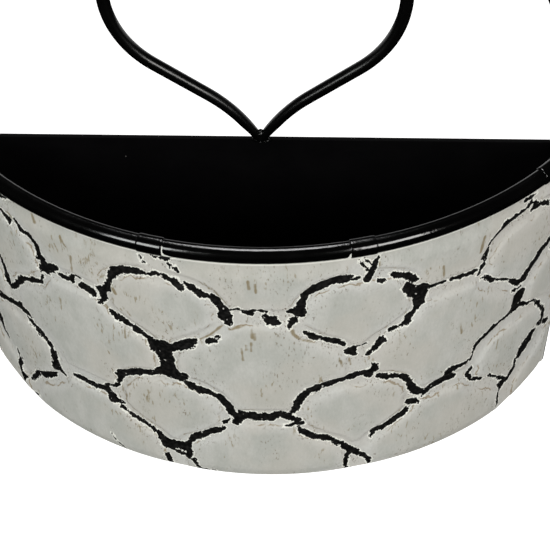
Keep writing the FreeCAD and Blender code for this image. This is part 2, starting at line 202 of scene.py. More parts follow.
def build_matt_black():
    material, tree, shader = new_material("matt_black_sheet")
    coat = coat_of(tree, peel=700.0, dust=0.07)
    cloudy = blend_colours(tree, coat.outputs["Cloud"], tint(3, 3, 4), tint(7, 6, 7))
    dusty = blend_colours(tree, coat.outputs["Specks"], cloudy, tint(96, 94, 90))
    join(tree, dusty, shader.inputs["Base Color"])
    join(tree, ramp(tree, coat.outputs["Cloud"], 0.3, 0.7, 0.56, 0.68), shader.inputs["Roughness"])
    shader.inputs["Specular IOR Level"].default_value = 0.07
    raise_from(tree, coat.outputs["Height"], 0.00005, shader)
    return material


matt_black = build_matt_black()


def finish_node(node_name, material):
    """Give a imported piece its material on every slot."""
    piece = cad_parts[node_name]
    for material_slot in piece.material_slots:
        material_slot.material = material


for node_name in ("back_panel", "bottom_panel"):
    finish_node(node_name, matt_black)


# ---------------------------------------------------------------------------------------------
# Front wall. Light steel sheet pressed with a repeating pattern of small and large tiles, then
# rolled to a tapered half round, its ends folded flat against the back. Whitewashed outside and
# rubbed back, so that the black undercoat shows along the pressed channels in ragged runs. A few
# black runs under the rim are painted shade in the gaps there, and the wash carries painted
# highlights along the tiles' edges and on the runs' pale lips.

MM = 0.001
wall_low, wall_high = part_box("front_wall")
SHEET = 0.8                                  # thickness of the wall, mm
FOOT_RADIUS = 187.5                          # outside of the wall at its lower edge, mm
PANEL_FACE = -1.1                            # the wall's cut ends, in front of the back panel, mm
WALL_HEIGHT = wall_high.z / MM
RIM_DROP = 4.65                              # from the rim rod's middle down to the wall's top, mm
half_chord = wall_high.x / MM
bow = PANEL_FACE - wall_low.y / MM
TOP_RADIUS = (half_chord ** 2 + bow ** 2) / (2 * bow)
AXIS = TOP_RADIUS + wall_low.y / MM          # the curve's axis, behind the wall plane, mm
GIRTH_RADIUS = 192.0                         # the radius on which lengths along the wall are told
NIP_WIDTH, NIP_HEIGHT = 26.0, 8.0            # slanting nip off each lower corner

# The pressed pattern, in mm: along the wall, and down from the rim rod's middle.
REPEAT = 100.7                               # from one small tile to the next
ROW = 79.0                                   # from one row of small tiles to the next
TILE_MIDDLE = 51.3                           # a small tile's middle
TILE_TOP = 19.5                              # the upper row's highest point
HALF_TILE = ((0, 0), (14, 2), (24, 7.5), (30, 16), (32.5, 26), (29.5, 34.5), (20, 43), (9, 50), (3, 58))
NECK = ((0, 58), (0, ROW))
BRIDGE = ((32.5, 26), (REPEAT / 2, 25))
CHANNEL_HALF = 2.6                           # half the width of a tile's pressed edge
NECK_HALF = 4.6
PRESS, PRESS_WIDTH = 1.3, 3.6                # step up from a channel to a tile, and its width
CROWN, CROWN_REACH = 1.05, 11.0              # further swell to a tile's middle
PLAIN_TOP = (2, 12)                          # stretch below the top edge in which it fades in
PLAIN_FOOT = (-3, 7)                         # the same above the lower edge
PLAIN_ENDS = 0.04                            # and from each end, as a share of half the wall

# Where the black shows, read off the wall laid flat. Each ragged run is a chain of
# (along, down, width) in mm.
# A few of these runs are painted shade: dark gaps under the rim rod, marked where they stand.
BARE_AND_GAP_SHADE_RUNS = (
    # far left tiles
    ((-147, 21, 2), (-139, 23, 3)), ((-135, 21, 1.5), (-130, 26, 3), (-125, 26, 2.5)),
    ((-125, 26, 2.5), (-121, 31, 3), (-120, 41, 3)),
    ((-119, 39, 4), (-117, 46, 7), (-111, 41, 4), (-109, 38, 2)), ((-122, 51, 1.5), (-120, 47, 3)),
    ((-121, 53, 0.8), (-123, 59, 1.5), (-127, 61, 2.5), (-139, 67, 3.2)),
    ((-139, 67, 3.2), (-143, 72, 3.2), (-148, 79, 2.5), (-152, 82, 4)),
    ((-158, 62, 2), (-155, 69, 3), (-154, 80, 4.5)),
    ((-169, 98, 4.5), (-164, 95.5, 3), (-157, 97, 3), (-150, 95, 4), (-145, 94, 7), (-140, 94, 7)),
    ((-142, 100, 2), (-136, 102.5, 2.6), (-130, 106, 2), (-125, 112, 2), (-124, 119, 3.4),
     (-124, 128, 4.2)),
    ((-124, 128, 3.5), (-119, 131, 1)),
    ((-126, 134, 1.5), (-130, 138, 3.5), (-139, 144, 5), (-143, 144, 2.5)),
    ((-142, 144, 2.5), (-147, 151, 2.2), (-153, 159, 2.6)),
    ((-163, 142, 2.4), (-161, 156, 1.4), (-159, 160, 4)),
    ((-163, 174, 2), (-157, 174, 1.5), (-150, 170, 2)), ((-168, 131, 1), (-167, 137, 1)),
    # painted shade: a dark wedge in the gap under the rim rod
    ((-145, 8.5, 3), (-139, 8, 1)),
    # bridges on the left
    ((-109, 45, 1.5), (-103, 45.5, 2.6)), ((-99.5, 42, 2.4), (-100, 46, 2)),
    ((-97, 40, 1.2), (-94, 40.5, 1.4)), ((-93, 46, 5), (-88, 47.5, 5.5)),
    ((-111, 126, 3), (-104, 125.6, 3.4), (-95, 126, 2.8), (-89, 125, 4.4), (-84, 131, 5),
     (-79, 131.6, 1.2)),
    ((-89, 122, 1.6), (-86, 128, 3)),
    # upper small tile, left
    ((-84, 43, 2.6), (-82, 43, 4), (-77, 40.5, 2.4)), ((-82, 42, 4), (-81, 49, 3.6), (-83, 53, 2)),
    ((-79, 41, 3.4), (-77, 36, 2.4), (-75, 30, 3), (-72, 25, 5), (-68, 22.6, 5), (-65, 21.5, 3)),
    ((-68, 21, 1.5), (-63, 19.5, 1.8), (-59, 20.5, 3)),
    ((-66, 23.5, 2.6), (-60, 22, 1.8), (-53, 20.8, 1.6)),
    ((-51, 19.2, 2), (-46, 20, 3), (-42, 22, 2.6), (-37, 26, 2.4)), ((-39, 20.5, 1), (-38, 25, 1.4)),
    ((-35, 22.5, 1.5), (-30, 26.5, 3.2), (-26, 30, 2.4)),
    ((-26, 30, 2.4), (-21, 31.4, 4), (-18.4, 36, 3.8), (-17, 40, 5), (-15.8, 45, 6.4), (-15, 48.5, 4)),
    ((-77.6, 57.5, 2), (-75, 60, 3.4), (-67, 64, 3.8), (-60, 69, 3), (-57, 71, 4)),
    ((-57, 71, 4), (-54, 76, 6), (-50, 72, 6.5), (-46, 75, 4)),
    ((-47, 76, 4), (-42, 72, 6), (-36, 68.5, 5), (-32, 65, 2)),
    ((-26, 64.4, 1.6), (-22, 62.6, 2), (-20, 60, 1.2)),
    # its neck, and the lower small tile beneath it
    ((-50, 80, 9), (-49, 85, 8.4), (-49, 91, 8)),
    ((-53, 95, 6), (-47, 94, 9), (-43, 96, 8.5), (-40, 94, 5)),
    ((-88, 120.6, 1.8), (-83, 119.6, 1.5), (-80.5, 117, 1.8)),
    ((-80, 115, 2), (-79, 109, 4), (-77, 105, 5), (-73, 104, 3.6), (-69, 101, 5), (-62, 99, 4),
     (-55, 97, 3)),
    ((-40, 100, 2.6), (-35, 103, 3.8), (-28, 105.6, 4), (-21, 109, 3.4)),
    ((-21, 109, 3.4), (-18, 115, 4), (-15.6, 121, 5), (-14, 124, 3.4)),
    ((-20, 129, 1.6), (-17.5, 126.5, 2)),
    ((-21, 134.6, 2.6), (-25, 137, 4), (-30, 140, 4), (-35, 143, 5), (-38, 145.5, 3)),
    ((-38, 146, 2.4), (-41, 151, 2.4), (-43, 154, 5.5), (-49, 155.4, 5.5), (-55, 156, 6.5)),
    ((-80, 135, 1.8), (-75, 139, 2.4), (-66, 143.4, 2.6), (-59, 149, 3), (-55, 155, 5)),
    ((-55, 159, 2.2), (-48, 162, 1.8), (-43, 163, 3)), ((-55.6, 165, 1.5), (-53.8, 174, 1.8)),
    ((-39, 164, 3), (-37.4, 169, 2), (-36, 172, 2)), ((-37, 172.4, 1), (-28, 172.6, 0.8)),
    # bridges in the middle
    ((-7, 40, 1.4), (-4, 41, 4), (-2, 38.5, 3.4)), ((2, 38.4, 1.8), (5, 39.6, 1.8)),
    ((4, 44, 3), (7, 46.5, 6.4), (10, 48, 3)),
    ((-12, 119.6, 2), (-9, 122, 5), (-2, 123, 5.6), (5, 124, 4.6), (10, 120.6, 5), (14, 123, 4),
     (19, 126.4, 3.4)),
    ((-12, 122, 2), (-14.5, 128.6, 3.4)), ((13, 130, 1.4), (22, 129.4, 2.2)),
    # upper small tile, right
    ((15.6, 51.6, 1.5), (18, 47, 3.6)), ((16, 40, 3), (21, 40.4, 6), (22, 43.5, 3)),
    ((21, 42, 4.6), (22, 35, 3.4), (24, 28, 4), (29, 23.4, 5)),
    ((29, 23, 5), (36, 20.3, 5.4), (42, 19.6, 4.6), (47, 19, 1.6)), ((40, 22, 1.4), (50, 21.2, 1.3)),
    ((54.4, 23, 3.4), (56.6, 19, 3), (58, 12, 1.6)), ((60, 25.2, 1.6), (63, 25.6, 1.4)),
    ((67, 22.4, 2), (70, 24.6, 4), (76, 27.4, 3.6), (80, 31.6, 3)),
    ((75, 34, 4), (79, 39, 6.4), (83, 43, 8), (83.4, 49, 6), (82, 52.6, 3)),
    ((84, 39, 5), (90, 40, 3.4), (99, 40.6, 1.8)),
    ((82, 53, 2), (78, 57.4, 4), (77, 61, 3.6), (74, 63, 1.6)), ((71, 64.4, 2.6), (68.6, 65, 2)),
    ((63.4, 70.4, 3.6), (60, 74.6, 2.4), (56, 80, 1.4)),
    ((24, 57, 1.8), (28, 60.4, 3), (35, 63.6, 3.2), (40, 65.6, 4), (43.4, 69, 2.2)),
    ((49.5, 72.4, 3), (47.4, 75, 5.4), (49.4, 77.6, 3)), ((51, 72, 1), (55, 71, 1)),
    # bridges on the right
    ((101, 40.8, 2.4), (109, 42, 2.8), (116, 42.4, 1.8)),
    ((90, 126, 2), (94, 122, 4), (99, 119.6, 5.6), (104, 118.4, 8), (109, 120, 3.6)),
    # lower small tile, right
    ((60.4, 88, 3), (60.4, 92, 3.6), (57.4, 96.4, 4.4)),
    ((16.8, 119.6, 3), (19, 116, 4), (20, 110, 5), (22, 106, 5), (25, 103, 5.4), (31, 99.6, 5.6)),
    ((31, 99.6, 5.6), (37, 97.6, 4.6), (46, 95.6, 3.2), (55, 94, 2.8), (59, 93.6, 4)),
    ((63, 99.4, 2.6), (68, 101.4, 3.4), (74, 103.4, 3), (78, 105.4, 3.4), (80.6, 110, 2.8)),
    ((80.6, 110, 2.8), (83, 116.4, 4), (86, 121, 5), (90, 124, 3.4)), ((81, 127, 3), (85, 129, 4)),
    ((81.4, 133.6, 2), (77, 137, 4), (71, 141, 4), (66, 143.4, 4), (62, 144, 4.4)),
    ((61.4, 142, 2.6), (60.8, 149.6, 1.6)),
    ((19, 132, 1.4), (22, 136, 3), (29, 141.4, 3.2), (36, 144, 3.4), (41, 148, 2.4), (47, 155, 3.6)),
    ((47, 155, 3.6), (51, 159, 3.4), (56, 163, 2.4), (59, 167, 2.6), (59.4, 171, 1.8)),
    ((48.6, 158, 2), (46, 164, 2.2), (46.6, 172.6, 1.8)),
    # marks under the rim, by the clips: scratches, small marks, and a crescent of painted shade
    # in the gap under the rod (along 145 to 153)
    ((50, 8, 0.7), (55.4, 17, 0.9)), ((53, 7, 0.7), (57, 14, 0.8)), ((60, 8, 0.7), (56, 16, 0.8)),
    ((145, 8.6, 1.4), (150, 9.4, 2), (153, 8.6, 1.2)), ((-39, 12, 1), (-38, 14, 1)),
    ((-42, 11, 0.9), (-41.4, 12.6, 1.1)),
)

# More runs, read in the photograph's own frame where the wall turns away or the mark is
# small: chains of (x, y, width) in pixels of 550 x 550, dropped on the wall by the view below.
SEEN_BARE_AND_GAP_SHADE_RUNS = (
    # far right, upper tile
    ((484.6, 258, 3.5), (486.8, 254, 4.2), (487.6, 250.5, 1.8), (490, 244, 2.2), (494.5, 237, 2.6),
     (501.5, 228.5, 3)),
    ((501.5, 228.5, 3), (507, 223, 4.4), (514, 219, 4.6), (521, 213.5, 4.2), (527, 209.5, 2.2),
     (533, 204, 2.2)),
    ((534, 210.5, 2.2), (537.5, 206, 3.2), (537, 202.5, 1.8)), ((537.5, 208.5, 1.6), (543, 205.5, 1.6)),
    ((541.5, 204, 3), (549.5, 203.4, 4)), ((484.6, 258, 3.5), (486.6, 261, 3)),
    ((484.5, 265.5, 2.6), (481.8, 271, 2.2), (480.2, 275, 1.6)),
    # far right, bridge down to the next tile
    ((482.6, 279, 2), (487, 278.2, 3.2), (493, 280.8, 3.6), (500.5, 280, 2.8), (506, 279.6, 2.4),
     (511, 281.2, 3)),
    ((511, 281.2, 3), (515.5, 283.5, 4.2), (521, 281.6, 4.6), (526, 278, 5.4)),
    ((520.5, 284, 2.4), (524.5, 277, 6), (528, 270.5, 6.4), (532, 264, 5), (535.4, 257.5, 3.6),
     (539.5, 250.5, 4.4)),
    ((539.5, 250.5, 4.4), (543, 246, 3), (547, 241, 2.4), (550, 236.5, 3)),
    ((513.3, 292.2, 1.6), (518, 290, 1.4), (521.8, 287.5, 1.2)),
    ((513, 309, 4), (516.5, 303.5, 6.4), (520, 297.5, 7.2), (523.5, 293.5, 3.4)),
    ((513, 311.5, 3.4), (519.5, 306.5, 4)),
    ((523.2, 305.2, 3.4), (528.5, 303.6, 2.4), (534.6, 301, 1.8), (539.6, 303.6, 3.6),
     (543, 309.5, 4.4)),
    ((543, 309.5, 4.4), (543.2, 315.5, 4.2), (540.4, 321, 3.4), (536.8, 322.8, 1.6)),
    # far right, small tile below: outer side, then inner side
    ((533.6, 329, 1.6), (529, 334.5, 4), (525, 341.5, 6), (521, 348, 5.4), (517.2, 355, 3.2)),
    ((514.8, 357, 1.4), (513.4, 364, 1.6), (511.4, 369, 2), (509.6, 374, 3.6), (507.5, 379.5, 4)),
    ((488.5, 374.8, 3), (495, 376.6, 3), (501, 378.4, 3.6), (508, 379, 4)),
    ((506, 380, 4), (502.5, 384.5, 4.4), (500.6, 390, 2.2)),
    ((497.8, 393.5, 1.8), (497.4, 398, 2), (497.6, 404, 2.4)),
    ((467.8, 374.8, 1), (471, 371, 2.2), (472, 368.4, 1.2)),
    ((468.6, 376.6, 1.8), (472, 379.6, 3), (481.5, 379.6, 2.8)),
    ((510, 311.5, 3), (505, 316, 1.8), (498.5, 321.5, 2), (492.6, 326.6, 3), (486, 333, 2.6),
     (480, 339.2, 2.2)),
    ((480, 339.2, 2.2), (474.6, 345.2, 1.6), (473.2, 350, 1.2), (473.4, 355, 1.4), (471.4, 359.5, 2.2)),
    ((468, 360.2, 1.6), (461, 363.8, 2.4), (455, 367, 3), (448.5, 370, 4.6)),
    # far left edge
    ((0.5, 253.5, 1), (4, 262, 1.6), (6, 270, 3)), ((1, 315, 5), (1.5, 318, 5)),
    ((3.3, 322, 1), (6, 330, 1), (10, 337, 1)), ((18.3, 348.3, 1), (20.8, 358.3, 1.6)),
    # the last run on the next line is painted shade in the gap under the rim rod at the far left
    ((25, 378, 0.6), (28, 388, 0.6)), ((0, 193.5, 2.4), (3, 196, 1.8), (7.5, 198.2, 0.2)),
    # small marks and scratches in the middle
    ((234, 424, 3.8), (240, 419, 6.6), (248, 417, 4.8)),
    ((228, 311.7, 2), (236.7, 308.7, 2), (245, 312.5, 2)),
    ((167, 447, 3), (178, 448.5, 2.4), (189, 450.5, 4.8), (189, 457, 3)),
    ((113, 432, 0.3), (128, 452, 0.3)),
    # the dark slit by the inner left clip: painted shade in the gap between the clip and the wall
    ((148.6, 255.9, 0.2), (154.3, 258.3, 1.3), (160.7, 259.3, 2.2), (166, 259.2, 1.9),
     (171.4, 258.4, 0.2)),
    ((137.5, 252.3, 0.2), (143.6, 254.3, 0.2)),
    ((138, 255.7, 0.3), (140, 259.5, 0.6), (143.6, 263.6, 0.2)),
)
# Rust that has come through the wash, read the same way.
SEEN_RUST = (
    ((248, 280, 1.6), (249, 288, 1.4)), ((255, 283, 1), (256, 292, 1)),
    ((251.5, 329, 1.2), (252, 337, 1.4)), ((254.8, 333, 1.4), (255.2, 339, 1.2)),
    ((251, 342, 1.2), (251.6, 350, 1.2)), ((246, 344, 0.8), (246.4, 349, 0.8)),
    ((241.5, 347, 0.8), (243.5, 359, 0.8)), ((204.5, 283, 1), (209, 290, 1.4)),
    ((211, 287, 1), (217, 294, 1.6)), ((215, 293, 1), (221, 300, 1.6)),
    ((110, 284, 1.6), (116, 293, 2.4)), ((127, 310, 0.8), (131, 315, 0.8)),
    ((103, 303, 0.6), (106.5, 309, 1), (110, 312, 0.4)), ((93, 249, 0.6), (94.5, 255, 0.8)),
    ((71.5, 255, 0.8), (72.5, 272, 0.8)), ((125, 327, 0.8), (125.6, 337, 0.8)),
    ((144, 338, 0.8), (147, 345, 1)), ((150, 344, 0.8), (151, 350, 0.8)),
    ((222, 327, 0.8), (210, 336, 1), (190, 345, 0.6), (176, 352, 0.4)),
    ((229, 330, 0.8), (236, 328, 0.8), (247, 326, 0.4)),
    ((289.5, 327, 0.8), (294, 335, 1.8), (302, 340, 1.2)), ((302, 340, 1.2), (315, 343, 0.6)),
    ((443, 265, 0.8), (443.6, 277, 0.8)), ((480, 252, 1.6), (484, 236, 1.6)),
    ((459.5, 322, 0.8), (460.6, 332, 1)), ((339, 357, 1), (342, 366, 1.4)),
    ((349, 359, 1), (351, 366, 1)), ((379, 257, 1), (380, 266, 1.2)),
    ((112, 232, 0.6), (114, 240, 0.8)), ((60, 236, 0.6), (67, 246, 0.6)),
    ((30, 215, 1), (34, 222, 1.4)), ((6, 214, 1), (10, 219, 1.2)),
)
SEEN_EDGE = 0.26                             # a read run's soft edges, mm in all
RUB = 0.32                                   # the runs are rubbed wider by this on each side, mm
SAG = 1.0065                                 # and sit lower on the wall by this factor
TILE_LIFT = 1.2                              # a tile's usual stand off the plain taper, mm

# The photograph's view, which the camera at the end takes too.
PHOTO_SIDE = 550                             # pixels
VIEW_TARGET = Vector((0.00392, 0.0, 0.07120))
VIEW_DISTANCE = 1.11626
AZIMUTH, ELEVATION, ROLL = (math.radians(angle) for angle in (3.54, 43.65, -1.64))
LENS, SENSOR = 130.9, 36.0

# The ends that the view leaves out, taken from the like places of the repeat: (shift, from, to).
REPEATED_ENDS = ((-REPEAT, -97, -70), (REPEAT, 74, 84))


def view_axes():
    """The view's right, up and ahead: high, a little to the right, slightly rolled."""
    level = math.cos(ELEVATION)
    ahead = Vector((-math.sin(AZIMUTH) * level, math.cos(AZIMUTH) * level, -math.sin(ELEVATION)))
    plain_right = Vector((math.cos(AZIMUTH), math.sin(AZIMUTH), 0))
    plain_up = plain_right.cross(ahead)
    right = plain_right * math.cos(ROLL) + plain_up * math.sin(ROLL)
    up = plain_up * math.cos(ROLL) - plain_right * math.sin(ROLL)
    return right, up, ahead


def on_wall(x, y):
    """Where the line of sight through a pixel meets the tapered wall: along and down, mm."""
    right, up, ahead = view_axes()
    eye = (VIEW_TARGET - ahead * VIEW_DISTANCE) / MM
    pixel = SENSOR / LENS / PHOTO_SIDE
    sight = ahead + right * (x - PHOTO_SIDE / 2) * pixel - up * (y - PHOTO_SIDE / 2) * pixel
    taper = (TOP_RADIUS - FOOT_RADIUS) / WALL_HEIGHT
    radius = FOOT_RADIUS + TILE_LIFT + taper * eye.z
    a = sight.x ** 2 + sight.y ** 2 - (taper * sight.z) ** 2
    b = eye.x * sight.x + (eye.y - AXIS) * sight.y - taper * sight.z * radius
    c = eye.x ** 2 + (eye.y - AXIS) ** 2 - radius ** 2
    place = eye - sight * (b + math.sqrt(max(b * b - a * c, 0))) / a
    return Vector((GIRTH_RADIUS * math.atan2(place.x, AXIS - place.y), WALL_HEIGHT + RIM_DROP - place.z))


def dropped(run):
    """A run read in pixels, laid on the wall as (along, down, width) in mm."""
    laid = []
    for number, (x, y, width) in enumerate(run):
        before, after = run[max(number - 1, 0)], run[min(number + 1, len(run) - 1)]
        ahead = Vector((after[0] - before[0], after[1] - before[1])).normalized()
        aside = Vector((-ahead.y, ahead.x)) * width / 2
        course = on_wall(x + ahead.x, y + ahead.y) - on_wall(x - ahead.x, y - ahead.y)
        across = on_wall(x + aside.x, y + aside.y) - on_wall(x - aside.x, y - aside.y)
        here = on_wall(x, y)
        laid.append((here.x, here.y / SAG, abs(course.normalized().cross(across)) + SEEN_EDGE))
    return laid


def with_ends(runs):
    """The runs, and copies of some of them one repeat further out."""
    everything = list(runs)
    for shift, low, high in REPEATED_ENDS:
        for run in runs:
            middle = sum(point[0] for point in run) / len(run)
            if low <= middle <= high:
                everything.append([(along + shift, down, width) for along, down, width in run])
    return everything


def to_stroke(along, down, start, end, start_half, end_half):
    """Distance of many places from one tapering stroke, less its half width. mm."""
    across, fall = end[0] - start[0], end[1] - start[1]
    length = across * across + fall * fall
    share = ((along - start[0]) * across + (down - start[1]) * fall) / length
    share = np.clip(share, 0, 1)
    gap = np.hypot(along - start[0] - share * across, down - start[1] - share * fall)
    return gap - (start_half + share * (end_half - start_half))


bare_and_gap_shade_runs = with_ends([*BARE_AND_GAP_SHADE_RUNS, *map(dropped, SEEN_BARE_AND_GAP_SHADE_RUNS)])
rust_runs = [dropped(run) for run in SEEN_RUST]


def to_runs(along, down, runs, rub):
    """Distance of many places from the nearest of the runs, negative inside it. mm."""
    nearest = np.full(along.shape, np.inf)
    down = down / SAG
    for run in runs:
        for (s0, d0, w0), (s1, d1, w1) in zip(run, run[1:]):
            nearest = np.minimum(nearest, to_stroke(along, down, (s0, d0), (s1, d1), w0 / 2, w1 / 2))
    return nearest - rub


def eased(points, steps=5):
    """A chain of points rounded by a curve that runs through them."""
    ends = [points[0], *points, points[-1]]
    chain = []
    for before, start, end, after in zip(ends, ends[1:], ends[2:], ends[3:]):
        for step in range(steps):
            t = step / steps
            chain.append(tuple(
                0.5 * (2 * b + (c - a) * t + (2 * a - 5 * b + 4 * c - d) * t * t
                       + (3 * b - a - 3 * c + d) * t ** 3)
                for a, b, c, d in zip(before, start, end, after)
            ))
    return chain + [points[-1]]


def to_channels(along, down):
    """Distance of many places from the pressed channels, negative inside them. mm."""
    folded = np.abs((along - TILE_MIDDLE + REPEAT / 2) % REPEAT - REPEAT / 2)
    nearest = np.full(along.shape, np.inf)
    lines = ((eased(HALF_TILE), CHANNEL_HALF), (NECK, NECK_HALF), (BRIDGE, NECK_HALF))
    for row in range(-1, 3):
        fall = down - TILE_TOP - row * ROW
        for line, half in lines:
            for start, end in zip(line, line[1:]):
                nearest = np.minimum(nearest, to_stroke(folded, fall, start, end, half, half))
    return nearest


def smooth(value, low, high):
    """0 below low, 1 above high, with a smooth rise between them."""
    share = np.clip((value - low) / (high - low), 0, 1)
    return share * share * (3 - 2 * share)


CLIP_ANGLES = (-48.3, -15.8, 15.8, 48.3)     # degrees about the curve's axis
CLIP_WIDTH = 13.5
NOTCH = 0.9                                  # the wall's top edge is cut this much lower there, mm
NOTCH_SIDES = (-1.2, 0.6)                    # over this stretch about a clip's end, mm
NOTCH_LEVELS = (0.96, 1.0)                   # and between these shares of the wall's height
END_COVER = 0.9                              # the wall's ends turn out to cover the panel's edges, mm
END_TURN = (0.988, 0.998)                    # where they turn, as shares of half the wall


def wall_grid(columns, rows, depth):
    """Points of one face of the wall in metres, depth mm inside its outer face, and its marks."""
    level = np.linspace(0, 1, rows)[:, None] * np.ones((1, columns))
    sweep = np.linspace(-1, 1, columns)[None, :] * np.ones((rows, 1))
    straight = FOOT_RADIUS + (TOP_RADIUS - FOOT_RADIUS) * level - depth
    angle = sweep * np.arccos((AXIS - PANEL_FACE) / straight)
    notch = np.zeros(angle.shape)
    for middle in CLIP_ANGLES:
        off = np.abs(angle - math.radians(middle)) * TOP_RADIUS - CLIP_WIDTH / 2
        notch = np.maximum(notch, NOTCH * smooth(-off, *NOTCH_SIDES))
    foot_across = FOOT_RADIUS * np.sin(np.abs(sweep) * np.arccos((AXIS - PANEL_FACE) / FOOT_RADIUS))
    nip = np.maximum(0, foot_across - foot_across.max() + NIP_WIDTH) * NIP_HEIGHT / NIP_WIDTH
    height = nip + level * (WALL_HEIGHT - nip) - notch * smooth(level, *NOTCH_LEVELS)
    along = GIRTH_RADIUS * angle
    down = WALL_HEIGHT + RIM_DROP - height
    channel = to_channels(along, down)
    crown = CROWN * (1 - np.exp(-np.maximum(channel, 0) / CROWN_REACH))
    lift = PRESS * smooth(channel, 0, PRESS_WIDTH) + crown
    pressed = smooth(WALL_HEIGHT - height, *PLAIN_TOP) * smooth(height - nip, *PLAIN_FOOT)
    pressed = pressed * smooth(1 - np.abs(sweep), 0, PLAIN_ENDS)
    turned_out = END_COVER * smooth(np.abs(sweep), *END_TURN)
    radius = straight + lift * pressed + turned_out
    points = np.stack((radius * np.sin(angle), AXIS - radius * np.cos(angle), height), axis=-1)
    marks = {"channel": channel, "bare_and_gap_shade": to_runs(along, down, bare_and_gap_shade_runs, RUB),
             "rust": to_runs(along, down, rust_runs, 0.0)}
    return points * MM, marks


COARSER = 3                                  # the plain inner face needs fewer points
WALL_COLUMNS = COARSER * 140 + 1
WALL_ROWS = COARSER * 60 + 1
MARK_RANGE = (-6.0, 20.0)                    # distances that the finish needs, mm
CREASE = math.radians(50)                    # sharper edges than this aren't smoothed over


def build_wall_mesh():
    """Outer face, coarser inner face and the four edges between them, as one closed skin."""
    outer, marks = wall_grid(WALL_COLUMNS, WALL_ROWS, 0.0)
    inner, _ = wall_grid(WALL_COLUMNS // COARSER + 1, WALL_ROWS // COARSER + 1, SHEET)
    faces = []
    skins = ((outer.shape[:2], 0, False), (inner.shape[:2], outer[..., 0].size, True))
    for (rows, columns), first, inward in skins:
        number = np.arange(rows * columns).reshape(rows, columns) + first
        corners = [number[:-1, :-1], number[:-1, 1:], number[1:, 1:], number[1:, :-1]]
        quads = np.stack(corners[::-1] if inward else corners, axis=-1).reshape(-1, 4)
        faces += [tuple(int(v) for v in quad) for quad in quads]
    outer_faces = (WALL_COLUMNS - 1) * (WALL_ROWS - 1)
    faces += edge_faces(outer.shape[:2], inner.shape[:2])
    points = np.concatenate((outer.reshape(-1, 3), inner.reshape(-1, 3)))
    mesh = bpy.data.meshes.new("front_wall_pressed")
    mesh.from_pydata(points.tolist(), [], faces)
    mesh.polygons.foreach_set("use_smooth", [True] * len(faces))
    mesh.polygons.foreach_set("material_index", [0] * outer_faces + [1] * (len(faces) - outer_faces))
    plain = np.full(inner[..., 0].size, MARK_RANGE[1])
    for label, values in marks.items():
        layer = mesh.attributes.new(label, "FLOAT", "POINT")
        values = np.clip(values.reshape(-1), *MARK_RANGE)
        layer.data.foreach_set("value", np.concatenate((values, plain)).astype(np.float32))
    mesh.set_sharp_from_angle(angle=CREASE)
    return mesh


def edge_faces(outer_shape, inner_shape):
    """Faces that close the wall's edges, each from one inner span to the outer spans beside it."""
    outer = np.arange(outer_shape[0] * outer_shape[1]).reshape(outer_shape)
    inner = np.arange(inner_shape[0] * inner_shape[1]).reshape(inner_shape) + outer.size
    sides = ((outer[0, ::-1], inner[0, ::-1]), (outer[:, 0], inner[:, 0]),
             (outer[-1, :], inner[-1, :]), (outer[::-1, -1], inner[::-1, -1]))
    faces = []
    for fine, coarse in sides:
        for span in range(len(coarse) - 1):
            near = fine[span * COARSER:(span + 1) * COARSER + 1]
            faces.append(tuple(int(v) for v in near) + (int(coarse[span + 1]), int(coarse[span])))
    return faces


FLANGE_WIDTH = 12.0
FLANGE_ENDS = (10.3, 163.9)                  # heights of its lower and upper ends, mm


def build_flanges(mesh):
    """Add the folded strip down each side, flat against the back panel."""
    work = bmesh.new()
    work.from_mesh(mesh)
    for side in (-1, 1):
        rings = []
        for height in FLANGE_ENDS:
            radius = FOOT_RADIUS + (TOP_RADIUS - FOOT_RADIUS) * height / WALL_HEIGHT
            reach = math.sqrt(radius ** 2 - (AXIS - PANEL_FACE) ** 2) - SHEET
            rings.append([
                work.verts.new(Vector((side * x, y, height)) * MM)
                for x, y in ((reach, PANEL_FACE), (reach - FLANGE_WIDTH, PANEL_FACE),
                             (reach - FLANGE_WIDTH, PANEL_FACE - SHEET), (reach, PANEL_FACE - SHEET))
            ])
        low, high = rings
        strips = [(low[n], low[(n + 1) % 4], high[(n + 1) % 4], high[n]) for n in range(4)]
        strips += [tuple(reversed(low)), tuple(high)]
        for strip in strips:
            face = work.faces.new(strip if side > 0 else tuple(reversed(strip)))
            face.material_index = 1
    work.to_mesh(mesh)
    work.free()


def mark(tree, name):
    """The distance in mm that the wall's mesh carries under a name."""
    return add(tree, "ShaderNodeAttribute", attribute_name=name).outputs["Fac"]


def ragged(tree, cloud, reach):
    """A cloudy value, moved to lie about zero and spread to the reach in mm."""
    return product(tree, calculate(tree, "SUBTRACT", cloud, 0.5), reach)


def chalk(tree, channel):
    """The wash itself, with a painted highlight: paler within a few mm of the channels, where the
    raised tile edges would catch the light. Brushed, with warm patches.
    """
    drift = ragged(tree, mottle(tree, 60.0), 9.0)
    # Painted highlight: the wash is paler along the tiles' pressed edges, standing for light on the raised
    # borders.
    painted_edge_highlight = ramp(tree, calculate(tree, "ADD", channel, drift), 2.0, 9.5, 1.0, 0.0)
    wash = blend_colours(tree, painted_edge_highlight, tint(177, 178, 172), tint(194, 194, 190))
    cloud = ramp(tree, mottle(tree, 95.0, (1, 1, 0.45), 5.0, 0.62), 0.34, 0.70, 0.0, 0.6)
    wash = blend_colours(tree, cloud, wash, tint(198, 197, 192))
    grain = ramp(tree, mottle(tree, 900.0, (1, 1, 0.4), 3.0, 0.7), 0.3, 0.7, 0.0, 0.16)
    wash = blend_colours(tree, grain, wash, tint(130, 130, 122))
    warm = ramp(tree, mottle(tree, 24.0), 0.42, 0.62, 0.0, 0.35)
    return blend_colours(tree, warm, wash, tint(190, 184, 174))


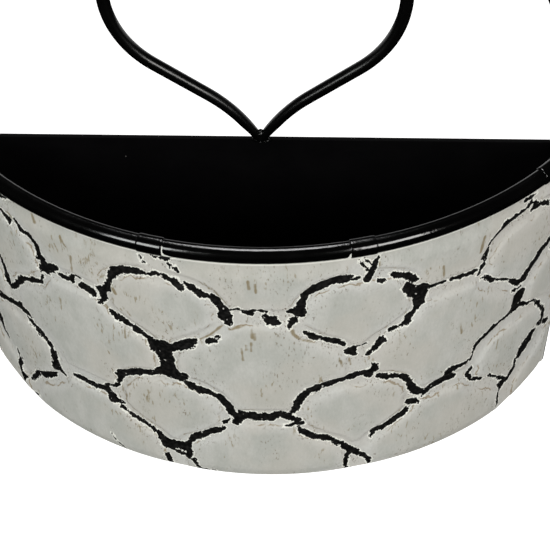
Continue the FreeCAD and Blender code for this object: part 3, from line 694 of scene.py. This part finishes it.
def rusted(tree, wash, torn):
    """The wash with scattered drawn-out dabs and spots of rust, and the larger stains."""
    dab = ramp(tree, mottle(tree, 620.0, (1, 1, 0.28), 2.0), 0.57, 0.66)
    dab_patch = ramp(tree, mottle(tree, 60.0, (1, 1, 0.7)), 0.54, 0.63)
    wash = blend_colours(tree, product(tree, dab, dab_patch, 0.7), wash, tint(134, 122, 92))
    stain_edge = calculate(tree, "ADD", mark(tree, "rust"), product(tree, torn, 0.4))
    stain = ramp(tree, stain_edge, -0.3, 0.6, 0.85, 0.0)
    wash = blend_colours(tree, stain, wash, tint(126, 112, 80))
    spot = ramp(tree, mottle(tree, 900.0, (1, 1, 0.4), 2.0), 0.62, 0.68)
    spot_patch = ramp(tree, mottle(tree, 52.0, (1, 1, 0.7)), 0.5, 0.6)
    return blend_colours(tree, product(tree, spot, spot_patch, 0.6), wash, tint(112, 100, 76))


def soiled(tree, wash, channel, edge):
    """The wash with a broken dirt line at the foot of the tiles, and pepper beside the runs."""
    line = calculate(tree, "ADD", channel, ragged(tree, mottle(tree, 120.0), 7.0))
    line = calculate(tree, "ABSOLUTE", calculate(tree, "SUBTRACT", line, 1.5))
    dirt = ramp(tree, line, 0.15, 0.55, 1.0, 0.0)
    dirt_patch = ramp(tree, mottle(tree, 65.0), 0.5, 0.58)
    wash = blend_colours(tree, product(tree, dirt, dirt_patch, 0.72), wash, tint(130, 112, 80))
    pepper = ramp(tree, mottle(tree, 1000.0, (1, 1, 0.7), 2.0), 0.60, 0.66)
    near = ramp(tree, edge, 1.0, 7.5, 1.0, 0.0)
    pepper_patch = ramp(tree, mottle(tree, 80.0), 0.47, 0.6)
    return blend_colours(tree, product(tree, pepper, near, pepper_patch, 0.85), wash, tint(84, 66, 46))


RIDGE = (0.0026, 0.0016)                     # a thick pale ridge of wash under the top edge, metres


def build_whitewash():
    """Chalky off-white over black, rubbed through in ragged runs, with rust, dirt, painted shade in a
    few gaps under the rim, a painted highlight along the tiles' edges, and pale lips along the runs
    that carry a painted highlight.
    """
    material, tree, shader = new_material("whitewashed_sheet")
    channel = mark(tree, "channel")
    torn = ragged(tree, mottle(tree, 260.0, (1, 1, 0.8), 1.0), 3.4)
    nicked = ragged(tree, mottle(tree, 900.0, (1, 1, 0.75), 1.0), 2.4)
    # The black: worn-through runs, and a few runs of painted shade in the gaps under the rim.
    edge = calculate(tree, "ADD", mark(tree, "bare_and_gap_shade"), calculate(tree, "ADD", torn, nicked))
    fleck = ramp(tree, mottle(tree, 380.0, (1, 1, 0.8), 1.0), 0.73, 0.75)
    bare_and_gap_shade = ramp(tree, edge, -0.05, 0.12, 1.0, 0.0)
    black = product(tree, bare_and_gap_shade, calculate(tree, "SUBTRACT", 1.0, fleck))

    wash = soiled(tree, rusted(tree, chalk(tree, channel), torn), channel, edge)
    # Pale lips along the runs' edges: partly a real ridge of wash, partly a painted highlight on it.
    lip_highlight = product(tree, ramp(tree, edge, 0.0, 0.2), ramp(tree, edge, 0.5, 1.05, 1.0, 0.0), 0.8)
    wash = blend_colours(tree, lip_highlight, wash, tint(236, 236, 227))
    place = add(tree, "ShaderNodeSeparateXYZ")
    join(tree, add(tree, "ShaderNodeTexCoord").outputs["Object"], place.inputs[0])
    ridge = ramp(tree, place.outputs["Z"], *(wall_high.z - below for below in RIDGE), 0.0, 0.6)
    wash = blend_colours(tree, ridge, wash, tint(236, 236, 228))
    worn = ramp(tree, mottle(tree, 560.0), 0.42, 0.68)
    undercoat = blend_colours(tree, worn, tint(5, 5, 5), tint(30, 29, 28))
    join(tree, blend_colours(tree, black, wash, undercoat), shader.inputs["Base Color"])
    join(tree, ramp(tree, black, 0.0, 1.0, 0.62, 0.68), shader.inputs["Roughness"])
    shader.inputs["Specular IOR Level"].default_value = 0.16

    brushed = product(tree, mottle(tree, 420.0, (1, 1, 0.4), 4.0), 0.35)
    raise_from(tree, calculate(tree, "SUBTRACT", brushed, black), 0.00022, shader)
    return material


front_wall_mesh = build_wall_mesh()
build_flanges(front_wall_mesh)
front_wall_mesh.materials.append(build_whitewash())
front_wall_mesh.materials.append(matt_black)
front_wall = bpy.data.objects.new("front_wall_pressed", front_wall_mesh)
bpy.context.scene.collection.objects.link(front_wall)
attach(front_wall, "root")
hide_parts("front_wall")


# ---------------------------------------------------------------------------------------------
# Rim rod, and the arch and tab above. Mild steel rod dipped in black enamel, glossy on the rim
# and duller on the frame, with dust caught as it dried.

def build_enamel(name, smoothest, roughest, shine):
    """Black enamel that is a little rougher where it has pooled thin."""
    material, tree, shader = new_material(name)
    coat = coat_of(tree, peel=420.0, dust=0.045)
    cloudy = blend_colours(tree, coat.outputs["Cloud"], tint(2, 2, 2), tint(6, 6, 6))
    dusty = blend_colours(tree, coat.outputs["Specks"], cloudy, tint(190, 188, 182))
    join(tree, dusty, shader.inputs["Base Color"])
    join(tree, ramp(tree, coat.outputs["Cloud"], 0.3, 0.7, smoothest, roughest), shader.inputs["Roughness"])
    shader.inputs["Specular IOR Level"].default_value = shine
    raise_from(tree, coat.outputs["Height"], 0.00005, shader)
    return material


rim_enamel = build_enamel("rim_enamel", 0.10, 0.17, 0.6)
frame_enamel = build_enamel("frame_enamel", 0.22, 0.29, 0.42)
finish_node("rim_rod", rim_enamel)
for node_name in ("arch_wire", "hanging_tab"):
    finish_node(node_name, frame_enamel)


# ---------------------------------------------------------------------------------------------
# Rim clips. Strips of thin sheet wrapped hard round the rod, their ends dressed down until only
# a fine line shows; a tail goes down inside the wall, and whitewash has lapped up at two ends.

rod_low, rod_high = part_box("rim_rod")
rod_level = (rod_low.z + rod_high.z) / 2
ROD_HALF = (rod_high.z - rod_low.z) / 2 / MM
RIM_RADIUS = AXIS - rod_low.y / MM - ROD_HALF
CLIP_STAND = 0.5                             # the strip's stand off the rod, mm
CLIP_INWARD = 0.15                           # it is pulled this much towards the basket
CLIP_DRESS = 1.1                             # length over which its ends are dressed down
WRAP_FROM, WRAP_TO = -50, 250                # round the rod, degrees up from straight outwards
WRAP_STEPS = 40
WRAP_SUNK = 0.1                              # its inner face is this much inside the rod's skin
FEATHER = 0.02                               # what stands of it at its very ends
TAIL_SHEET, TAIL_FOOT = 0.6, 17.2            # tail's thickness, and its foot below the rod's middle
TAIL_GAP = 0.1


def about_rim(girth, out, up):
    """A place told by degrees about the curve's axis, and mm out and up from the rod's middle."""
    a = math.radians(girth)
    reach = RIM_RADIUS + out
    return Vector((reach * math.sin(a) * MM, (AXIS - reach * math.cos(a)) * MM, rod_level + up * MM))


def clip_section(stand):
    """Outer and inner paths of a clip's section, as (out, up) in mm."""
    outer, inner = [], []
    for step in range(WRAP_STEPS + 1):
        a = math.radians(WRAP_FROM + (WRAP_TO - WRAP_FROM) * step / WRAP_STEPS)
        half = ROD_HALF + stand
        outer.append((half * math.cos(a) - CLIP_INWARD * stand / CLIP_STAND, half * math.sin(a)))
        half = ROD_HALF - WRAP_SUNK
        inner.append((half * math.cos(a), half * math.sin(a)))
    level = (WALL_HEIGHT + RIM_DROP - TAIL_FOOT) / WALL_HEIGHT
    behind = FOOT_RADIUS + (TOP_RADIUS - FOOT_RADIUS) * level - SHEET - TAIL_GAP - RIM_RADIUS
    outer.append((behind - TAIL_SHEET, -TAIL_FOOT))
    inner.append((behind, -TAIL_FOOT))
    return outer, inner


def finish_piece(work, name, material, crease=CREASE):
    """The work as a smooth mesh object of one material, riding the root."""
    mesh = bpy.data.meshes.new(name)
    work.to_mesh(mesh)
    work.free()
    mesh.polygons.foreach_set("use_smooth", [True] * len(mesh.polygons))
    mesh.set_sharp_from_angle(angle=crease)
    mesh.materials.append(material)
    piece = bpy.data.objects.new(name, mesh)
    bpy.context.scene.collection.objects.link(piece)
    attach(piece, "root")
    return piece


def wrapped_clip(name, middle):
    """One clip about its place on the rim, as a closed skin."""
    half = CLIP_WIDTH / 2
    dressed = [half - CLIP_DRESS * share for share in (0, 0.15, 0.4, 0.7, 1.0)]
    places = [-along for along in dressed] + [half * step / 5 for step in range(-4, 5)] + dressed[::-1]
    work = bmesh.new()
    rings = []
    for along in places:
        share = min((half - abs(along)) / CLIP_DRESS, 1)
        stand = CLIP_STAND * math.sqrt(1 - (1 - share) ** 2) + FEATHER
        girth = middle + math.degrees(along / RIM_RADIUS)
        rings.append([
            [work.verts.new(about_rim(girth, out, up)) for out, up in path]
            for path in clip_section(stand)
        ])
    count = len(rings[0][0])
    for (outer, inner), (next_outer, next_inner) in zip(rings, rings[1:]):
        for n in range(count - 1):
            work.faces.new((outer[n], outer[n + 1], next_outer[n + 1], next_outer[n]))
            work.faces.new((inner[n], next_inner[n], next_inner[n + 1], inner[n + 1]))
        for n in (0, count - 1):
            work.faces.new((outer[n], next_outer[n], next_inner[n], inner[n]))
    for outer, inner in (rings[0], rings[-1]):
        for n in range(count - 1):
            work.faces.new((outer[n], inner[n], inner[n + 1], outer[n + 1]))
    bmesh.ops.recalc_face_normals(work, faces=work.faces[:])
    return finish_piece(work, name, rim_enamel)


CLIP_NAMES = ("rim_clip_outer_left", "rim_clip_inner_left", "rim_clip_inner_right", "rim_clip_outer_right")
CLIPS_WRAPPED = (-48.3, -15.15, 15.55, 48.3)    # degrees, as hammered on, a little off the even spacing
for clip_name, middle in zip(CLIP_NAMES, CLIPS_WRAPPED):
    clip = wrapped_clip(clip_name + "_wrapped", middle)
    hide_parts(clip_name)

# Whitewash lapped on to the rod beside a clip: which clip, which end of it, and the lap's shape as
# (mm beyond the clip's end, upper edge in degrees about the rod).
LAPS = {
    "whitewash_lap_left": (1, 1, ((0.0, 52), (0.45, 44), (0.75, 6), (1.3, -8), (3.0, -16), (6.0, -46))),
    "whitewash_lap_right": (2, -1, ((0.0, 14), (0.5, 8), (1.2, -14), (2.2, -24), (3.4, -48))),
}
LAP_LOWER = -56                              # its lower edge, degrees
LAP_THICKNESS = 0.12
LAP_STEPS = 4


def build_lap_paint():
    """Plain thick whitewash."""
    material, tree, shader = new_material("whitewash_lap")
    brushed = blend_colours(tree, mottle(tree, 500.0), tint(206, 207, 199), tint(232, 233, 226))
    join(tree, brushed, shader.inputs["Base Color"])
    shader.inputs["Roughness"].default_value = 0.6
    shader.inputs["Specular IOR Level"].default_value = 0.2
    return material


def lap_patch(name, middle, side, shape):
    """A thin patch of whitewash on the rod, from a clip's end outwards."""
    work = bmesh.new()
    columns = []
    half = ROD_HALF + LAP_THICKNESS
    for beyond, upper in shape:
        girth = middle + side * math.degrees((CLIP_WIDTH / 2 + beyond) / RIM_RADIUS)
        rise = [math.radians(LAP_LOWER + (upper - LAP_LOWER) * n / LAP_STEPS) for n in range(LAP_STEPS + 1)]
        columns.append([
            work.verts.new(about_rim(girth, half * math.cos(a), half * math.sin(a))) for a in rise])
    for near, far in zip(columns, columns[1:]):
        for n in range(LAP_STEPS):
            corners = (near[n], far[n], far[n + 1], near[n + 1])
            work.faces.new(corners if side > 0 else corners[::-1])
    return finish_piece(work, name, lap_paint)


lap_paint = build_lap_paint()
for lap_name, (clip_number, side, shape) in LAPS.items():
    patch = lap_patch(lap_name, CLIPS_WRAPPED[clip_number], side, shape)


# ---------------------------------------------------------------------------------------------
# Scrolls. Two wires bent by hand over the same former, so that neither is quite like the other:
# a belly, a straight run and a reverse bend to the toe, and the same again up to the crown.

arch_low, arch_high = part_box("arch_wire")
hem_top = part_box("back_panel")[1].z
wire_middle = (arch_low.y + arch_high.y) / 2
WIRE = arch_high.y - arch_low.y
scroll_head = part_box("scroll_right")[1].z
# belly out from the middle, belly above the rod, belly radius, turn in degrees, run, toe radius
BENT = {"scroll_left": (-1, 77.3, 91.8, 54.8, 54.1, 32.4, 81.8),
        "scroll_right": (1, 72.9, 91.2, 56.5, 53.3, 31.8, 82.9)}
STEPS = 40
TOE_TURN = math.radians(44)                  # enough to pass the hem, where the wire is trimmed
WIRE_SIDES = 20
GROUND = ((0.0005, 0.045), (0.0006, 0.013))  # taken off the radius at the ends, and over what length
scroll_half = (scroll_head - hem_top) / 2


def scroll_line(side, belly_out, belly_up, belly, turn, run, toe):
    """Centre line from the hem to the belly, as (across, level) points in metres."""
    turn = math.radians(turn)
    bend = [turn * step / STEPS for step in range(STEPS + 1)]
    line = [(belly_out - belly + belly * math.cos(a), belly_up - belly * math.sin(a)) for a in bend]
    across, level = line[-1]
    across, level = across - run * math.sin(turn), level - run * math.cos(turn)
    hub = (across + toe * math.cos(turn), level - toe * math.sin(turn))
    for step in range(STEPS + 1):
        a = turn - TOE_TURN * step / STEPS
        line.append((hub[0] - toe * math.cos(a), hub[1] + toe * math.sin(a)))
    return [(side * out * MM, rod_level + up * MM) for out, up in reversed(line)]


def level_at(line, level):
    """Where a rising line crosses a level, across."""
    for (x0, z0), (x1, z1) in zip(line, line[1:]):
        if z0 <= level <= z1:
            return x0 + (x1 - x0) * (level - z0) / (z1 - z0)
    return line[0][0]


def whole_scroll(lower, meet):
    """The lower half and its mirror image above, eased over so that the crown meets at x = 0."""
    belly_level = lower[-1][1]
    upper = []
    for x, z in reversed(lower[:-1]):
        share = (belly_level - z) / (belly_level - hem_top)
        upper.append((x - meet * share * share * (3 - 2 * share), 2 * belly_level - z))
    return lower + upper


def round_wire(work, line, side):
    """A closed round wire along a flat line, ground thinner on its outer side at both ends."""
    rings = []
    middle = (line[0][1] + line[-1][1]) / 2
    for number, (x, z) in enumerate(line):
        before, after = line[max(number - 1, 0)], line[min(number + 1, len(line) - 1)]
        ahead = Vector((after[0] - before[0], 0, after[1] - before[1])).normalized()
        aside = Vector((ahead.z, 0, -ahead.x))
        to_end = scroll_half - abs(z - middle)
        thin = sum(depth * (1 - smooth(to_end, 0, length)) for depth, length in GROUND)
        half = WIRE / 2 - thin
        ring = []
        for corner in range(WIRE_SIDES):
            a = 2 * math.pi * corner / WIRE_SIDES
            place = Vector((x, wire_middle, z)) + aside * (math.cos(a) * half - side * thin)
            ring.append(work.verts.new(place + Vector((0, math.sin(a) * half, 0))))
        rings.append(ring)
    for low, high in zip(rings, rings[1:]):
        for corner in range(WIRE_SIDES):
            beside = (corner + 1) % WIRE_SIDES
            work.faces.new((low[corner], high[corner], high[beside], low[beside]))
    work.faces.new(rings[0])
    work.faces.new(tuple(reversed(rings[-1])))


def trim_flat(work, place, outward):
    """Cut the work off flat at a plane and close the cut."""
    everything = work.verts[:] + work.edges[:] + work.faces[:]
    cut = bmesh.ops.bisect_plane(
        work, geom=everything, plane_co=place, plane_no=outward, clear_outer=True)
    edges = [item for item in cut["geom_cut"] if isinstance(item, bmesh.types.BMEdge)]
    bmesh.ops.holes_fill(work, edges=edges)


lower_lines = {name: scroll_line(*shape) for name, shape in BENT.items()}
feet = [level_at(line, hem_top) for line in lower_lines.values()]
meeting = sum(feet) / 2
for name, lower in lower_lines.items():
    work = bmesh.new()
    round_wire(work, whole_scroll(lower, meeting), BENT[name][0])
    trim_flat(work, (0, 0, hem_top), (0, 0, -1))
    trim_flat(work, (0, 0, scroll_head), (0, 0, 1))
    bmesh.ops.recalc_face_normals(work, faces=work.faces[:])
    wire = finish_piece(work, name + "_bent", frame_enamel)
    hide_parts(name)


# ---------------------------------------------------------------------------------------------
# Weld beads. Short runs of weld metal where the wires stand on the hem, where the scrolls meet
# the arch, and under the hanging tab. They are left as laid and painted over with the frame.

LUMPS = 0.22                                 # how uneven a bead is, as a share of its size
LUMP_PITCH = 3.1                             # lumps across it
RIPPLE = 0.05                                # ripples left by the weld's advance, as a share
RIPPLE_PITCH = 26.0
BEAD_SEED = 7.3                              # sets one bead's lumps apart from the next one's


def weld_bead(name, place, size, seed):
    """One lumpy bead about place, of the given overall size in metres."""
    work = bmesh.new()
    bmesh.ops.create_icosphere(work, subdivisions=4, radius=0.5)
    for vert in work.verts:
        swell = noise.noise(vert.co * LUMP_PITCH + Vector((seed, 0, 0))) * LUMPS
        ripple = RIPPLE * math.cos(vert.co.x * RIPPLE_PITCH)
        vert.co *= 1 + swell + ripple
        vert.co = Vector(vert.co[axis] * size[axis] + place[axis] for axis in range(3))
    bead = finish_piece(work, name, frame_enamel, crease=math.pi)


arch_foot = arch_high.x - WIRE / 2
# Each bead's middle, and its size across, through and up, in metres.
BEADS = {
    "weld_scroll_feet": ((meeting, wire_middle, hem_top + 0.0002), (0.0084, 0.0050, 0.0022)),
    "weld_scroll_crotch": ((meeting, wire_middle, hem_top + 0.0042), (0.0034, 0.0040, 0.0050)),
    "weld_arch_foot_left": ((-arch_foot, wire_middle, hem_top + 0.0004), (0.0092, 0.0052, 0.0026)),
    "weld_arch_foot_right": ((arch_foot, wire_middle, hem_top + 0.0004), (0.0092, 0.0052, 0.0026)),
    "weld_scroll_heads": ((0, wire_middle, scroll_head), (0.0120, 0.0050, 0.0030)),
    "weld_hanging_tab": ((0, wire_middle, arch_high.z + 0.0002), (0.0180, 0.0040, 0.0030)),
}
for seed, (name, (place, size)) in enumerate(BEADS.items(), start=1):
    weld_bead(name, place, size, seed * BEAD_SEED)


# ---------------------------------------------------------------------------------------------
# Studio. A pale floor well below the hung planter, a white sheet behind it, two soft boxes in
# front and one above and behind, and a long lens that looks down on the basket.

FLOOR_DROP = 0.9
FLOOR_REACH = 9.0
SHEET_PLACE = (2.0, 3.0)                     # the white sheet starts this far behind, on the floor
SHEET_FROM = (0.0, 0.3)                      # and here in the surround, by how far back a ray points
SHEET_TOP = (0.0, 0.3)                       # its upper edge there, by how far up a ray points
SHEET_GLOW = 0.8
FILL = 0.46                                  # even light from all round
LEAST = 0.01                                 # what gloss sees where there is no sheet


def swept_sheet(tree, place, low, high):
    """1 where the white sheet stands behind the planter and 0 in front of it."""
    split = add(tree, "ShaderNodeSeparateXYZ")
    join(tree, place, split.inputs[0])
    return ramp(tree, split.outputs["Y"], low, high)


def build_floor():
    """A round pale floor, white where it is looked at, and dark to bright metal before the sheet."""
    work = bmesh.new()
    bmesh.ops.create_circle(work, cap_ends=True, radius=FLOOR_REACH, segments=96)
    mesh = bpy.data.meshes.new("studio_floor")
    work.to_mesh(mesh)
    work.free()
    floor = bpy.data.objects.new("studio_floor", mesh)
    floor.location.z = -FLOOR_DROP
    bpy.context.scene.collection.objects.link(floor)
    material, tree, shader = new_material("pale_floor")
    shader.inputs["Roughness"].default_value = 0.9
    shader.inputs["Specular IOR Level"].default_value = 0.0
    shader.inputs["Emission Color"].default_value = (1, 1, 1, 1)
    seen = add(tree, "ShaderNodeLightPath")
    position = add(tree, "ShaderNodeNewGeometry").outputs["Position"]
    sheet = swept_sheet(tree, position, *SHEET_PLACE)
    mirrored = calculate(tree, "ADD", seen.outputs["Is Glossy Ray"], seen.outputs["Is Transmission Ray"])
    dark = product(tree, mirrored, calculate(tree, "SUBTRACT", 1.0, sheet))
    pale = blend_colours(tree, dark, tint(226, 226, 224), tint(12, 12, 12))
    join(tree, pale, shader.inputs["Base Color"])
    white = calculate(tree, "ADD", seen.outputs["Is Camera Ray"], product(tree, mirrored, sheet))
    join(tree, product(tree, white, SHEET_GLOW), shader.inputs["Emission Strength"])
    mesh.materials.append(material)


def build_surround():
    """White behind the planter where it is looked at or mirrored, and a dim even fill elsewhere."""
    world = bpy.data.worlds.new("studio_surround")
    bpy.context.scene.world = world
    world.use_nodes = True
    tree = world.node_tree
    tree.nodes.clear()
    direction = add(tree, "ShaderNodeTexCoord").outputs["Generated"]
    split = add(tree, "ShaderNodeSeparateXYZ")
    join(tree, direction, split.inputs[0])
    below_top = ramp(tree, split.outputs["Z"], *SHEET_TOP, 1.0, 0.0)
    sheet = product(tree, swept_sheet(tree, direction, *SHEET_FROM), below_top)
    seen = add(tree, "ShaderNodeLightPath")
    mirrored = calculate(tree, "ADD", seen.outputs["Is Glossy Ray"], seen.outputs["Is Transmission Ray"])
    glow = product(tree, mirrored, sheet, SHEET_GLOW)
    white = calculate(tree, "ADD", seen.outputs["Is Camera Ray"], glow, clamp=True)
    fill = product(tree, seen.outputs["Is Diffuse Ray"], FILL)
    strength = calculate(tree, "ADD", calculate(tree, "MAXIMUM", white, fill), LEAST, clamp=True)
    background = add(tree, "ShaderNodeBackground")
    background.inputs["Color"].default_value = (1, 1, 1, 1)
    join(tree, strength, background.inputs["Strength"])
    join(tree, background.outputs[0], add(tree, "ShaderNodeOutputWorld").inputs["Surface"])


BASKET_MIDDLE = Vector((0, -0.05, 0.17))     # what the lamps look at
LAMP_REACH = 1.6
# name: direction from the basket, width, height, power and colour
LAMPS = {
    "soft_box_left": ((-0.55, -0.72, 0.43), 0.54, 0.62, 10.4, (0.97, 1.0, 0.975)),
    "soft_box_right": ((0.555, -0.715, 0.42), 0.54, 0.62, 11.6, (1.0, 0.985, 0.955)),
    "soft_box_above": ((-0.045, 0.40, 0.91), 0.40, 0.70, 10.0, (1.0, 1.0, 1.0)),
}


def place_lamp(name, direction, width, height, power, colour):
    """A rectangular soft box that looks at the basket from a direction."""
    data = bpy.data.lights.new(name, "AREA")
    data.shape = "RECTANGLE"
    data.size, data.size_y = width, height
    data.energy = power
    data.color = colour
    lamp = bpy.data.objects.new(name, data)
    toward = Vector(direction).normalized()
    lamp.location = BASKET_MIDDLE + toward * LAMP_REACH
    lamp.rotation_euler = toward.to_track_quat("Z", "Y").to_euler()
    lamp.visible_camera = False
    bpy.context.scene.collection.objects.link(lamp)


def place_camera():
    """A long lens at the photograph's view."""
    right, up, ahead = view_axes()
    data = bpy.data.cameras.new("photo_view")
    data.sensor_width = SENSOR
    data.lens = LENS
    data.clip_end = 60
    camera = bpy.data.objects.new("photo_view", data)
    camera.matrix_world = Matrix((right, up, -ahead)).transposed().to_4x4()
    camera.location = VIEW_TARGET - ahead * VIEW_DISTANCE
    bpy.context.scene.collection.objects.link(camera)
    bpy.context.scene.camera = camera


build_floor()
build_surround()
for lamp_name, settings in LAMPS.items():
    place_lamp(lamp_name, *settings)
place_camera()
bpy.context.scene.view_settings.view_transform = "Standard"
